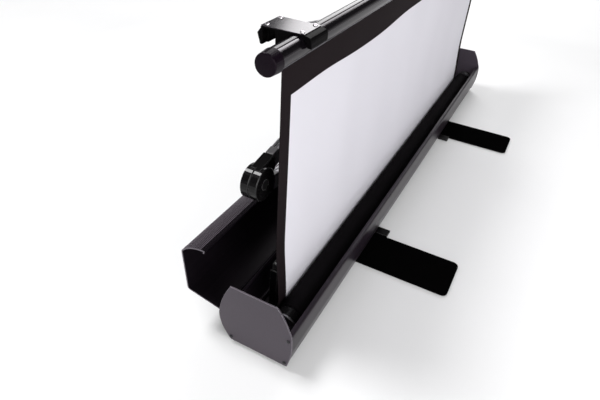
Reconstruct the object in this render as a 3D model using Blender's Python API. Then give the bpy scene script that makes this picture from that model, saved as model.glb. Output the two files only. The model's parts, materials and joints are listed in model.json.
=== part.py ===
"""Pull up projection screen: a scissor-raised screen standing in its open case."""

import math

import bmesh
import bpy
from mathutils import Matrix, Vector

# Screen and cloth
SCREEN_WIDTH = 1.016
SIDE_BORDER = 0.0228
CLOTH_THICKNESS = 0.0005
CLOTH_WAVE = 0.0040
WAVE_LENGTH = 0.170
WAVE_START = -0.375
CLOTH_COLUMNS = 50
CLOTH_ROWS = 10
CLOTH_HANG = 0.0050

# Fits
FIT_GAP = 0.0003
SLIDE_GAP = 0.0004
SIDE_GAP = 0.00035

# Case
END_ROOM = 0.0572
CASE_HEIGHT = 0.115
PLATE_THICKNESS = 0.0025
PLATE_EDGE = 0.0006
SHELL_WALL = 0.0018
LID_WALL = 0.0020
BEAD_RADIUS = 0.0024
SOCKET_RADIUS = 0.0028
SOCKET_OUTER = 0.0046
CORNER_EASE = 0.0050
RIB_HEIGHT = 0.0005
BOSS_RADIUS = 0.0034
PORT_RADIUS = 0.0017
SCREW_RADIUS = 0.0013
SCREW_HEAD_RADIUS = 0.0029
SCREW_HEAD_HEIGHT = 0.0016
SCREW_REACH = 0.0080

# Feet
PAD_DEPTH = 0.0012
FOOT_THICKNESS = 0.0030
MOUNT_THICKNESS = 0.0020
FOOT_WIDTH = 0.093
FOOT_LENGTH = 0.430
FOOT_CORNER = 0.010
FOOT_SHARE = 0.4769
MOUNT_HALF = 0.0661
MOUNT_DEPTH = 0.0460
LUG_WIDTH = 0.0193
LUG_START = 0.0473
LUG_END = 0.0720
RIVET_RADIUS = 0.0060
RIVET_HEAD_RADIUS = 0.0100
RIVET_HEAD = 0.0010
PAD_HOLE = 0.0150
PAD_WIDTH = 0.070
PAD_SINK = 0.0008
PAD_INSET = 0.018

# Roller
ROLL_RADIUS = 0.0207
ROLLER_RADIUS = 0.0120
ROLLER_WALL = 0.0012
CAP_RADIUS = 0.0213
CAP_REACH = 0.0212
CAP_THICKNESS = 0.0030
PLUG_RADIUS = 0.0180
PLUG_SPIGOT = 0.0260
AXLE_RADIUS = 0.0050
AXLE_DEPTH = 0.0120
BRACKET_PLATE = 0.0030
BRACKET_HALF = 0.0170
BRACKET_TOP = 0.0100
SPRING_ROOM = 0.0003
SPRING_WIRE = 0.0006
SPRING_LOOPS = 13
SPRING_LENGTH = 0.160
SPRING_INSET = 0.060

# Top bar
BAR_RADIUS = 0.0132
BAR_BORE = 0.0112
BAR_Y = 0.0064
BAR_DROP = 0.0019
BAR_OVERHANG = 0.0352
RIDGE_RISE = 0.0005
GROOVE_TURN = math.radians(19.5)
GROOVE_ANGLE = math.radians(4.5)
RIDGE_ANGLE = math.radians(25)
SLOT_HALF = 0.0016
BAR_CAP_RADIUS = 0.0140
BAR_CAP_FACE_RADIUS = 0.0130
BAR_CAP_LENGTH = 0.0170
BAR_CAP_ROUND = 0.0016
BAR_CAP_SPIGOT = 0.0100
COVER_WIDTH = 0.0406
COVER_THICKNESS = 0.0007
COVER_FRONT = 0.0100
COVER_REAR = 0.0447
COVER_RISE = 0.0149
BODY_DROP = 0.0070
BODY_ROOF = 0.0014
BODY_REAR = 0.0517
BODY_TAPER = 0.0037
SHOULDER = 0.0093
SIDE_WALL = 0.0020
END_WALL = 0.0030
NOSE_REACH = 0.0194
NOSE_TOP = 0.0127
NOSE_FOOT = 0.0015
NOSE_ROUND = 0.0060
COVER_SCREW_X = 0.0150
COVER_SCREW_REACH = 0.0014

# Scissor arms
LIFT_ANGLE = math.radians(10.35)
BASE_PIVOT_HEIGHT = 0.0700
PIVOT_INSET = 0.0498
KNUCKLE_REACH = 0.0410
KNUCKLE_RISE = 0.0115
TUBE_HEIGHT = 0.0224
TUBE_WIDTH = 0.0123
TUBE_WALL = 0.0013
TUBE_ROUND = 0.0012
GROOVE_WIDTH = 0.0042
GROOVE_DEPTH = 0.0009
BAR_ROOM = 0.00255
PLANE_GAP = 0.0024
END_PLUG = 0.0140
SPIGOT_LENGTH = 0.0160
DRUM_RADIUS = 0.0235
DRUM_HALF = 0.01235
RIGHT_FRONT_HALF = 0.0078
SOCKET_HALF = 0.0082
SOCKET_BACK = 0.0070
SOCKET_FRONT = 0.0330
SOCKET_TOP = 0.0240
COLLAR_END = 0.0480
COLLAR_PROUD = 0.0012
TONGUE_END = 0.0250
KNUCKLE_PIN = 0.0040
KNUCKLE_HEAD = 0.0078
KNUCKLE_HEAD_DEPTH = 0.0012
PIN_RADIUS = 0.0030
PIN_HEAD = 0.0050
PIN_HEAD_DEPTH = 0.0010
CHAMFER = 0.0005

# Base bracket and carriage
CHEEK = 0.0015
CHEEK_RISE = 0.0103
CHEEK_RIGHT = 0.0206
CHEEK_LEFT = 0.0196
CHEEK_NARROW = 0.0065
NARROW_HEIGHT = 0.0560
BACK_WALL_PLACE = 0.0135
BACK_WALL = 0.0020
BACK_WALL_DROP = 0.0050
FLOOR_PLATE = 0.0020
RAIL_INWARD = 0.1060
RAIL_OUTWARD = 0.0470
RAIL_WIDTH = 0.0190
RAIL_HEIGHT = 0.0100
RAIL_WALL = 0.0018
RAIL_SLOT = 0.0080
RAIL_Y = 0.0333
DECK_HEIGHT = 0.0140
DECK_THICKNESS = 0.0030

# Handles
GRIP_LENGTH = 0.150
GRIP_THICKNESS = 0.0090
GRIP_DEPTH = 0.0280
GRIP_HEIGHT = 0.0200
PULL_LENGTH = 0.110
PULL_DEPTH = 0.0260
PULL_BAND = 0.0080
PULL_HEIGHT = 0.0080
EDGE_EASE = 0.0012

# Outlines, as shares of the case height: along Y, then up
PLATE_REAR_SHARES = ((0.4243, 0.0), (0.5443, 0.2), (0.5861, 0.44), (0.5174, 0.7339), (0.3974, 1.0))
PLATE_FRONT_SHARES = (
    (-0.2678, 1.0), (-0.3739, 0.8348), (-0.4330, 0.7), (-0.4809, 0.5548), (-0.48, 0.2626), (-0.4243, 0.0),
)
SHELL_SHARES = (
    (-0.4087, 0.5930), (-0.4713, 0.5930), (-0.4745, 0.50), (-0.4722, 0.2626), (-0.4191, 0.0),
    (0.4191, 0.0), (0.5383, 0.2), (0.5635, 0.310), (0.5728, 0.4270),
)
HINGE_SHARES = (0.5400, 0.4500)
LID_WALL_SHARES = ((1.0957, 0.5643), (1.1278, 1.2243))
LIP_SHARES = ((1.1278, 1.2243), (1.0540, 1.2900), (0.9640, 1.3380), (0.8620, 1.3660), (0.7609, 1.3730))
HOOK_SHARES = ((0.7750, 1.3250),)
SCREW_SHARES = ((0.4100, 0.0640), (-0.4043, 0.0590), (-0.4310, 0.5080))
ROLL_SHARES = (-0.1878, 0.3304)
NECK_ANGLE = math.radians(11.6)

# Sizes that follow
CLOTH_HALF = SCREEN_WIDTH / 2 + SIDE_BORDER
CASE_HALF = CLOTH_HALF + END_ROOM
SHELL_HALF = CASE_HALF - PLATE_THICKNESS - FIT_GAP
MOUNT_BASE = PAD_DEPTH + FOOT_THICKNESS + FIT_GAP
CASE_LIFT = MOUNT_BASE + MOUNT_THICKNESS + FIT_GAP
FLOOR_TOP = CASE_LIFT + SHELL_WALL + FIT_GAP
FOOT_X = CASE_HALF * FOOT_SHARE
PIVOT_X = CLOTH_HALF - PIVOT_INSET
ARM_SHORT = PIVOT_X / math.cos(LIFT_ANGLE)
ARM_LONG = ARM_SHORT + KNUCKLE_REACH
ARM_LENGTH = ARM_SHORT + ARM_LONG
ARM_TILT = math.asin(KNUCKLE_RISE / ARM_LENGTH)
TUBE_ANGLE = LIFT_ANGLE - ARM_TILT
FRONT_PLANE = BAR_Y + BAR_RADIUS + BAR_ROOM + TUBE_WIDTH / 2
REAR_PLANE = FRONT_PLANE + TUBE_WIDTH + PLANE_GAP
BASE_Z = CASE_LIFT + BASE_PIVOT_HEIGHT
KNUCKLE_Z = BASE_Z + ARM_LENGTH * math.sin(LIFT_ANGLE)
TOP_Z = KNUCKLE_Z + ARM_LENGTH * math.sin(LIFT_ANGLE)
LOWER_CENTER_Z = BASE_Z + ARM_SHORT * math.sin(LIFT_ANGLE)
KNUCKLE_X = ARM_LONG * math.cos(LIFT_ANGLE)
BAR_Z = TOP_Z - BAR_DROP
BAR_CAP_FACE = CLOTH_HALF + BAR_OVERHANG
ROLL_Y = ROLL_SHARES[0] * CASE_HEIGHT
ROLL_Z = ROLL_SHARES[1] * CASE_HEIGHT + CASE_LIFT
BORE_RADIUS = PIN_RADIUS + FIT_GAP
COLOURS = {}


# Shapes
def at_case(share_pair):
    return (share_pair[0] * CASE_HEIGHT, share_pair[1] * CASE_HEIGHT + CASE_LIFT)


def smooth_run(points, steps):
    run = []
    for index in range(len(points) - 1):
        before = Vector(points[max(index - 1, 0)])
        start = Vector(points[index])
        end = Vector(points[index + 1])
        after = Vector(points[min(index + 2, len(points) - 1)])
        for step in range(steps):
            t = step / steps
            along = (end - before) * t + (before * 2 - start * 5 + end * 4 - after) * t * t
            along += (start * 3 - before - end * 3 + after) * t * t * t
            run.append(tuple(start + along / 2))
    run.append(tuple(points[-1]))
    return run


def eased(points, setback, steps=4):
    run = [Vector(points[0])]
    for before, corner, after in zip(points, points[1:], points[2:]):
        corner = Vector(corner)
        back = Vector(before) - corner
        ahead = Vector(after) - corner
        start = corner + back * min(setback / back.length, 9 / 20)
        end = corner + ahead * min(setback / ahead.length, 9 / 20)
        for step in range(steps + 1):
            t = step / steps
            run.append(start * (1 - t) ** 2 + corner * 2 * t * (1 - t) + end * t * t)
    run.append(Vector(points[-1]))
    return [tuple(point) for point in run]


def beside(points, distance):
    """The same path moved to its left."""
    moved = []
    for index, point in enumerate(points):
        before = Vector(points[max(index - 1, 0)])
        after = Vector(points[min(index + 1, len(points) - 1)])
        here = Vector(point)
        first = (here - before).normalized() if index else (after - here).normalized()
        second = (after - here).normalized() if index < len(points) - 1 else first
        left = Vector((-first.y - second.y, first.x + second.x))
        moved.append(tuple(here + left * 2 * distance / left.length_squared))
    return moved


def arc(center, radius, start, end, steps):
    found = []
    for step in range(steps + 1):
        angle = start + (end - start) * step / steps
        found.append((center[0] + radius * math.cos(angle), center[1] + radius * math.sin(angle)))
    return found


def from_mesh(bm):
    bmesh.ops.remove_doubles(bm, verts=bm.verts, dist=CHAMFER / 500)
    bmesh.ops.recalc_face_normals(bm, faces=bm.faces)
    mesh = bpy.data.meshes.new("piece")
    bm.to_mesh(mesh)
    bm.free()
    made = bpy.data.objects.new("piece", mesh)
    bpy.context.collection.objects.link(made)
    return made


def prism(axis, start, end, *loops):
    """Loops in the plane across the axis, in the order of X, Y and Z, drawn out along it."""
    bm = bmesh.new()
    edges = []
    for loop in loops:
        row = []
        for pair in loop:
            spot = list(pair)
            spot.insert("XYZ".index(axis), start)
            row.append(bm.verts.new(spot))
        for first, second in zip(row, row[1:] + row[:1]):
            edges.append(bm.edges.new((first, second)))
    bmesh.ops.triangle_fill(bm, edges=edges, use_beauty=True)
    drawn = bmesh.ops.extrude_face_region(bm, geom=bm.faces[:])
    shift = Vector((0, 0, 0))
    shift["XYZ".index(axis)] = end - start
    moved = [part for part in drawn["geom"] if isinstance(part, bmesh.types.BMVert)]
    bmesh.ops.translate(bm, verts=moved, vec=shift)
    bmesh.ops.dissolve_limit(bm, angle_limit=math.radians(1) / 10, verts=bm.verts, edges=bm.edges)
    return from_mesh(bm)


def box(low, high):
    bm = bmesh.new()
    bmesh.ops.create_cube(bm, size=1)
    for vert in bm.verts:
        for axis in range(3):
            vert.co[axis] = high[axis] if vert.co[axis] > 0 else low[axis]
    return from_mesh(bm)


def turned(axis, center, profile, steps=24):
    """A profile of (radius, along) pairs turned about the axis through the centre."""
    bm = bmesh.new()
    row = [bm.verts.new((radius, 0, along)) for radius, along in profile]
    edges = [bm.edges.new(pair) for pair in zip(row, row[1:])]
    if profile[0][0] > 0:
        edges.append(bm.edges.new((row[-1], row[0])))
    bmesh.ops.spin(
        bm, geom=row + edges, cent=(0, 0, 0), axis=(0, 0, 1), angle=math.tau, steps=steps, use_merge=True
    )
    made = from_mesh(bm)
    turn = Matrix.Identity(4)
    if axis == "X":
        turn = Matrix.Rotation(math.pi / 2, 4, "Y")
    elif axis == "Y":
        turn = Matrix.Rotation(-math.pi / 2, 4, "X")
    made.data.transform(Matrix.Translation(Vector(center)) @ turn)
    return made


def rod(axis, center, radius, start, end, ease=CHAMFER, steps=24):
    """A round rod whose ends are start and end along the axis from the centre."""
    profile = [(0, start), (radius - ease, start), (radius, start + ease)]
    profile += [(radius, end - ease), (radius - ease, end), (0, end)]
    if not ease:
        profile = [(0, start), (radius, start), (radius, end), (0, end)]
    return turned(axis, center, profile, steps)


def drill(axis, center, radius, start, end, steps=20):
    return rod(axis, center, radius, start, end, 0, steps)


def apply_modifiers(obj):
    view = bpy.context.evaluated_depsgraph_get()
    mesh = bpy.data.meshes.new_from_object(obj.evaluated_get(view))
    obj.modifiers.clear()
    obj.data = mesh
    return obj


def boolean(obj, others, operation):
    for other in others:
        modifier = obj.modifiers.new("shape", "BOOLEAN")
        modifier.solver = "EXACT"
        modifier.operation = operation
        modifier.object = other
        apply_modifiers(obj)
        bm = bmesh.new()
        bm.from_mesh(obj.data)
        bmesh.ops.remove_doubles(bm, verts=bm.verts, dist=CHAMFER / 500)
        bmesh.ops.triangulate(bm, faces=bm.faces)
        bm.to_mesh(obj.data)
        bm.free()
        bpy.data.objects.remove(other)
    return obj


def cut(obj, *others):
    return boolean(obj, others, "DIFFERENCE")


def join(obj, *others):
    return boolean(obj, others, "UNION")


def ease_edges(obj, width, segments=2):
    modifier = obj.modifiers.new("edges", "BEVEL")
    modifier.width = width
    modifier.segments = segments
    modifier.limit_method = "ANGLE"
    modifier.angle_limit = math.radians(50)
    return apply_modifiers(obj)


def keep(obj, name, slot, origin=(0, 0, 0)):
    obj.name = name
    obj.data.name = name
    origin = Vector(origin)
    obj.data.transform(Matrix.Translation(-origin))
    obj.location = origin
    obj.data.materials.clear()
    obj.data.materials.append(COLOURS[slot])
    obj.data.shade_smooth()
    obj.data.set_sharp_from_angle(angle=math.radians(32))
    return obj


def placed(obj, matrix):
    obj.data.transform(matrix)
    if matrix.determinant() < 0:
        obj.data.flip_normals()
    return obj


def colour(slot, shade, metallic, roughness):
    made = bpy.data.materials.new(slot)
    made.use_nodes = True
    shader = made.node_tree.nodes["Principled BSDF"]
    shader.inputs["Base Color"].default_value = (*shade, 1)
    shader.inputs["Metallic"].default_value = metallic
    shader.inputs["Roughness"].default_value = roughness
    COLOURS[slot] = made


# Case
def socket_center():
    return at_case(HINGE_SHARES)


def shell_path():
    return eased([at_case(pair) for pair in SHELL_SHARES], CORNER_EASE)


def screw_spots():
    """Places of the end screws, each set in from the nearest place on the shell's outside."""
    path = shell_path()
    inset = SHELL_WALL + BOSS_RADIUS * 4 / 5
    spots = []
    for pair in SCREW_SHARES:
        wanted = Vector(at_case(pair))
        found = []
        for start, end in zip(path, path[1:]):
            along = Vector(end) - Vector(start)
            share = (wanted - Vector(start)).dot(along) / along.length_squared
            nearest = Vector(start) + along * min(max(share, 0), 1)
            found.append(((wanted - nearest).length, tuple(nearest)))
        nearest = Vector(min(found)[1])
        spots.append(tuple(nearest + (wanted - nearest).normalized() * inset))
    return spots


def make_shell():
    center = socket_center()
    outer = shell_path()
    inner = beside(outer, SHELL_WALL)
    opening = math.radians(342)
    lip = math.radians(130)
    meets = math.radians(325)
    leaves = math.radians(302)
    outline = outer[:-1] + arc(center, SOCKET_OUTER, meets, opening, 3)
    outline += arc(center, SOCKET_RADIUS, opening, lip, 16)
    outline += arc(center, SOCKET_OUTER, lip, leaves, 12)
    outline += inner[-2::-1]
    shell = prism("X", -SHELL_HALF, SHELL_HALF, outline)
    bosses = []
    ports = []
    for pair in screw_spots():
        spot = (0,) + pair
        bosses.append(drill("X", spot, BOSS_RADIUS, -SHELL_HALF, SHELL_HALF, 14))
        ports.append(drill("X", spot, PORT_RADIUS, -CASE_HALF, CASE_HALF, 12))
    join(shell, *bosses)
    cut(shell, *ports)
    keep(shell, "base_shell", "case_paint")


def make_end_plates():
    for side, word in ((-1, "left"), (1, "right")):
        inner = side * (CASE_HALF - PLATE_THICKNESS)
        rear = smooth_run([at_case(pair) for pair in PLATE_REAR_SHARES], 4)
        front = smooth_run([at_case(pair) for pair in PLATE_FRONT_SHARES], 4)
        plate = prism("X", side * CASE_HALF, inner, rear + front)
        ease_edges(plate, PLATE_EDGE)
        holes = []
        for place, pair in zip(("rear", "bottom", "front"), screw_spots()):
            spot = (side * CASE_HALF,) + pair
            holes.append(drill("X", spot, PORT_RADIUS, -SCREW_REACH, SCREW_REACH, 16))
            head = FIT_GAP + SCREW_HEAD_HEIGHT
            profile = [(0, -SCREW_REACH), (SCREW_RADIUS, -SCREW_REACH), (SCREW_RADIUS, FIT_GAP)]
            profile += [(SCREW_HEAD_RADIUS, FIT_GAP), (SCREW_HEAD_RADIUS * 9 / 10, head * 7 / 10)]
            profile += [(SCREW_HEAD_RADIUS / 2, head), (0, head)]
            if side < 0:
                profile = [(radius, -along) for radius, along in profile]
            keep(turned("X", spot, profile, 14), "plate_screw_" + place + "_" + word, "dark_steel")
        cut(plate, *holes)
        keep(plate, "end_plate_" + word, "plate_paint")


def make_lid():
    center = socket_center()
    wall = [at_case(pair) for pair in LID_WALL_SHARES]
    lip = smooth_run([at_case(pair) for pair in LIP_SHARES], 8)
    spread = math.asin(LID_WALL / 2 / BEAD_RADIUS)
    start = arc(center, BEAD_RADIUS, NECK_ANGLE - spread, NECK_ANGLE, 1)[0]
    outer = eased([start, wall[0], wall[1], lip[4]], CORNER_EASE)[:-1]
    plain = outer + lip[4:] + [at_case(pair) for pair in HOOK_SHARES]
    inner = beside(plain, LID_WALL)
    ribbed = beside(smooth_run(lip[5:], 1), -RIB_HEIGHT)
    crests = []
    for index, (low, high) in enumerate(zip(lip[5:], ribbed)):
        crests.append(low)
        if index < len(ribbed) - 1:
            following = ribbed[index + 1]
            crests.append(tuple(Vector(high) * 7 / 10 + Vector(following) * 3 / 10))
            crests.append(tuple(Vector(high) * 3 / 10 + Vector(following) * 7 / 10))
    outline = outer + [lip[4]] + crests + [at_case(pair) for pair in HOOK_SHARES]
    outline += inner[:0:-1]
    outline += arc(center, BEAD_RADIUS, NECK_ANGLE + spread, NECK_ANGLE - spread + math.tau, 16)[:-1]
    half = SHELL_HALF - FIT_GAP
    lid = prism("X", -half, half, outline)
    hinge = (0,) + center
    keep(lid, "lid_shell", "case_paint", hinge)
    middle_z = (wall[0][1] + wall[1][1]) / 2
    middle_y = (wall[0][0] + wall[1][0]) / 2 + FIT_GAP * 3
    half = GRIP_LENGTH / 2
    inside = half - GRIP_THICKNESS * 2
    far_y = middle_y + GRIP_DEPTH
    near_y = far_y - GRIP_THICKNESS
    shape = [(-half, middle_y), (-half, far_y), (half, far_y), (half, middle_y)]
    shape += [(inside, middle_y), (inside, near_y), (-inside, near_y), (-inside, middle_y)]
    grip = prism("Z", middle_z - GRIP_HEIGHT / 2, middle_z + GRIP_HEIGHT / 2, shape)
    ease_edges(grip, EDGE_EASE)
    keep(grip, "carry_handle", "black_plastic", hinge)


# Feet
def make_feet():
    for side, word in ((-1, "left"), (1, "right")):
        center = (side * FOOT_X, 0, 0)
        half = FOOT_WIDTH / 2 - FOOT_CORNER
        reach = FOOT_LENGTH / 2 - FOOT_CORNER
        outline = []
        for index, (way_x, way_y) in enumerate(((1, 1), (-1, 1), (-1, -1), (1, -1))):
            corner = (center[0] + way_x * half, way_y * reach)
            start = index * math.pi / 2
            outline += arc(corner, FOOT_CORNER, start, start + math.pi / 2, 4)
        foot = prism("Z", PAD_DEPTH, PAD_DEPTH + FOOT_THICKNESS, outline)
        ease_edges(foot, CHAMFER, 1)
        under = PAD_DEPTH + RIVET_HEAD + FIT_GAP * 2
        tools = [drill("Z", center, RIVET_RADIUS + FIT_GAP, -PAD_DEPTH, CASE_LIFT)]
        tools.append(drill("Z", center, RIVET_HEAD_RADIUS + FIT_GAP, -PAD_DEPTH, under))
        low = Vector((center[0] - PAD_WIDTH / 2, -FOOT_LENGTH / 2 + PAD_INSET, 0))
        high = Vector((center[0] + PAD_WIDTH / 2, FOOT_LENGTH / 2 - PAD_INSET, PAD_DEPTH + PAD_SINK))
        room = Vector((FIT_GAP, FIT_GAP, FIT_GAP))
        sole = ease_edges(box(low, high), CHAMFER, 1)
        cut(sole, drill("Z", center, PAD_HOLE, -PAD_DEPTH, CASE_LIFT))
        tools.append(box(low - room, high + room))
        cut(foot, *tools)
        keep(foot, "foot_" + word, "black_metal", center)
        keep(sole, "foot_sole_" + word, "rubber", center)
        inner = -side * MOUNT_HALF + center[0]
        outer = side * MOUNT_HALF + center[0]
        edge = inner + side * LUG_WIDTH
        shape = [(outer, -MOUNT_DEPTH), (edge, -MOUNT_DEPTH), (edge, -LUG_END), (inner, -LUG_END)]
        shape += [(inner, MOUNT_DEPTH), (outer, MOUNT_DEPTH)]
        mount = prism("Z", MOUNT_BASE, MOUNT_BASE + MOUNT_THICKNESS, shape)
        low = (min(inner, edge), -LUG_END, PAD_DEPTH + FIT_GAP)
        high = (max(inner, edge), -LUG_START, MOUNT_BASE + MOUNT_THICKNESS / 2)
        base = PAD_DEPTH + FIT_GAP
        neck = drill("Z", center, RIVET_RADIUS, base + RIVET_HEAD / 2, MOUNT_BASE + MOUNT_THICKNESS / 2)
        head = drill("Z", center, RIVET_HEAD_RADIUS, base, base + RIVET_HEAD)
        join(mount, box(low, high), neck, head)
        keep(mount, "foot_mount_" + word, "black_metal")


# Roller and cloth
def make_roller():
    middle = (0, ROLL_Y, ROLL_Z)
    face = CLOTH_HALF + CAP_REACH
    tube_half = CLOTH_HALF
    outer = arc((ROLL_Y, ROLL_Z), ROLLER_RADIUS, 0, math.tau * 31 / 32, 31)
    inner = arc((ROLL_Y, ROLL_Z), ROLLER_RADIUS - ROLLER_WALL, 0, math.tau * 31 / 32, 31)
    keep(prism("X", -tube_half, tube_half, outer, inner), "roller_tube", "grey_metal", middle)
    outer = arc((ROLL_Y, ROLL_Z), ROLL_RADIUS, 0, math.tau * 47 / 48, 47)
    inner = arc((ROLL_Y, ROLL_Z), ROLLER_RADIUS + FIT_GAP, 0, math.tau * 47 / 48, 47)
    keep(prism("X", -CLOTH_HALF, CLOTH_HALF, outer, inner), "cloth_roll", "cloth_black", middle)
    for side, word in ((-1, "left"), (1, "right")):
        start = CLOTH_HALF + FIT_GAP
        end = face - CAP_THICKNESS - FIT_GAP
        bore = AXLE_RADIUS + FIT_GAP
        reach = start - PLUG_SPIGOT
        slim = ROLLER_RADIUS - ROLLER_WALL - FIT_GAP
        deep = face - AXLE_DEPTH - FIT_GAP * 3
        profile = [(0, reach), (slim, reach), (slim, start), (PLUG_RADIUS, start), (PLUG_RADIUS, end)]
        profile += [(bore, end), (bore, deep), (0, deep)]
        cap = [(bore, end + FIT_GAP), (CAP_RADIUS, end + FIT_GAP), (CAP_RADIUS, face - CHAMFER)]
        cap += [(CAP_RADIUS - CHAMFER, face), (bore, face)]
        if side < 0:
            profile = [(radius, -along) for radius, along in profile]
            cap = [(radius, -along) for radius, along in cap]
        keep(turned("X", middle, profile), "roller_plug_" + word, "black_plastic", middle)
        keep(turned("X", middle, cap, 40), "roller_cap_" + word, "grey_metal", middle)
        foot = CASE_LIFT + SHELL_WALL + FIT_GAP
        crown = ROLL_Z + BRACKET_TOP
        shape = [(ROLL_Y - BRACKET_HALF, foot), (ROLL_Y + BRACKET_HALF, foot)]
        shape += [(ROLL_Y + BRACKET_TOP, crown), (ROLL_Y - BRACKET_TOP, crown)]
        wall = CASE_HALF - PLATE_THICKNESS - FIT_GAP
        outline = eased(shape + shape[:1], CHAMFER)[:-1]
        bracket = prism("X", side * wall, side * (wall - BRACKET_PLATE), outline)
        ends = sorted((side * (wall - BRACKET_PLATE / 2), side * (face - AXLE_DEPTH)))
        pin = rod("X", middle, AXLE_RADIUS, ends[0], ends[1])
        keep(join(bracket, pin), "roller_bracket_" + word, "black_metal")


def make_spring():
    line = bpy.data.curves.new("roller_spring", "CURVE")
    line.dimensions = "3D"
    line.bevel_depth = SPRING_WIRE
    line.bevel_resolution = 1
    line.use_fill_caps = True
    run = line.splines.new("POLY")
    count = SPRING_LOOPS * 8
    run.points.add(count)
    start = -CLOTH_HALF + SPRING_INSET
    coil = ROLLER_RADIUS - ROLLER_WALL - SPRING_WIRE - SPRING_ROOM
    for index in range(count + 1):
        turn = math.tau * index / 8
        run.points[index].co = (
            start + SPRING_LENGTH * index / count, coil * math.cos(turn), coil * math.sin(turn), 1
        )
    made = bpy.data.objects.new("roller_spring", line)
    bpy.context.collection.objects.link(made)
    mesh = bpy.data.meshes.new_from_object(made.evaluated_get(bpy.context.evaluated_depsgraph_get()))
    spring = bpy.data.objects.new("spring", mesh)
    bpy.context.collection.objects.link(spring)
    bpy.data.objects.remove(made)
    bpy.data.curves.remove(line)
    spring.data.transform(Matrix.Translation((0, ROLL_Y, ROLL_Z)))
    keep(spring, "roller_spring", "spring_steel", (0, ROLL_Y, ROLL_Z))


def cloth_y(x, share):
    start = ROLL_Y + ROLL_RADIUS + CLOTH_THICKNESS
    rise = min(share * 3, 1)
    flat = start + (BAR_Y - start) * rise * rise * (3 - 2 * rise)
    swell = math.sqrt(max(math.sin(math.pi * share), 0))
    from_start = (x - WAVE_START) / WAVE_LENGTH
    uneven = (1 + math.cos(x / CLOTH_HALF * math.pi / 2 * 3)) / 4 + math.exp(-abs(from_start)) / 2
    return flat - CLOTH_WAVE * math.sin(math.tau * from_start) * swell * uneven


def make_cloth():
    bm = bmesh.new()
    bmesh.ops.create_grid(bm, x_segments=CLOTH_COLUMNS, y_segments=CLOTH_ROWS, size=1)
    low = ROLL_Z + CLOTH_THICKNESS
    high = BAR_Z - CLOTH_HANG
    for vert in bm.verts:
        share = (vert.co.y + 1) / 2
        x = vert.co.x * CLOTH_HALF
        vert.co = (x, cloth_y(x, share), low + (high - low) * share)
    cloth = from_mesh(bm)
    modifier = cloth.modifiers.new("thickness", "SOLIDIFY")
    modifier.thickness = CLOTH_THICKNESS
    modifier.offset = 0
    apply_modifiers(cloth)
    keep(cloth, "screen_cloth", "cloth_white", (0, ROLL_Y + ROLL_RADIUS, ROLL_Z))


# Scissor arms
def tube_loops():
    half = TUBE_WIDTH / 2
    high = TUBE_HEIGHT / 2
    outer = []
    for up in (1, -1):
        groove = [(up * GROOVE_WIDTH / 2, up * high), (up * GROOVE_WIDTH / 2, up * (high - GROOVE_DEPTH))]
        groove += [(-up * GROOVE_WIDTH / 2, up * (high - GROOVE_DEPTH)), (-up * GROOVE_WIDTH / 2, up * high)]
        right = (up * (half - TUBE_ROUND), up * (high - TUBE_ROUND))
        turn = 0 if up > 0 else math.pi
        outer += arc(right, TUBE_ROUND, turn, turn + math.pi / 2, 3) + groove
        left = (-up * (half - TUBE_ROUND), up * (high - TUBE_ROUND))
        outer += arc(left, TUBE_ROUND, turn + math.pi / 2, turn + math.pi, 3)
    wide = half - TUBE_WALL
    tall = high - GROOVE_DEPTH - TUBE_WALL
    inner = [(wide, tall), (-wide, tall), (-wide, -tall), (wide, -tall)]
    return outer, inner


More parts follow.
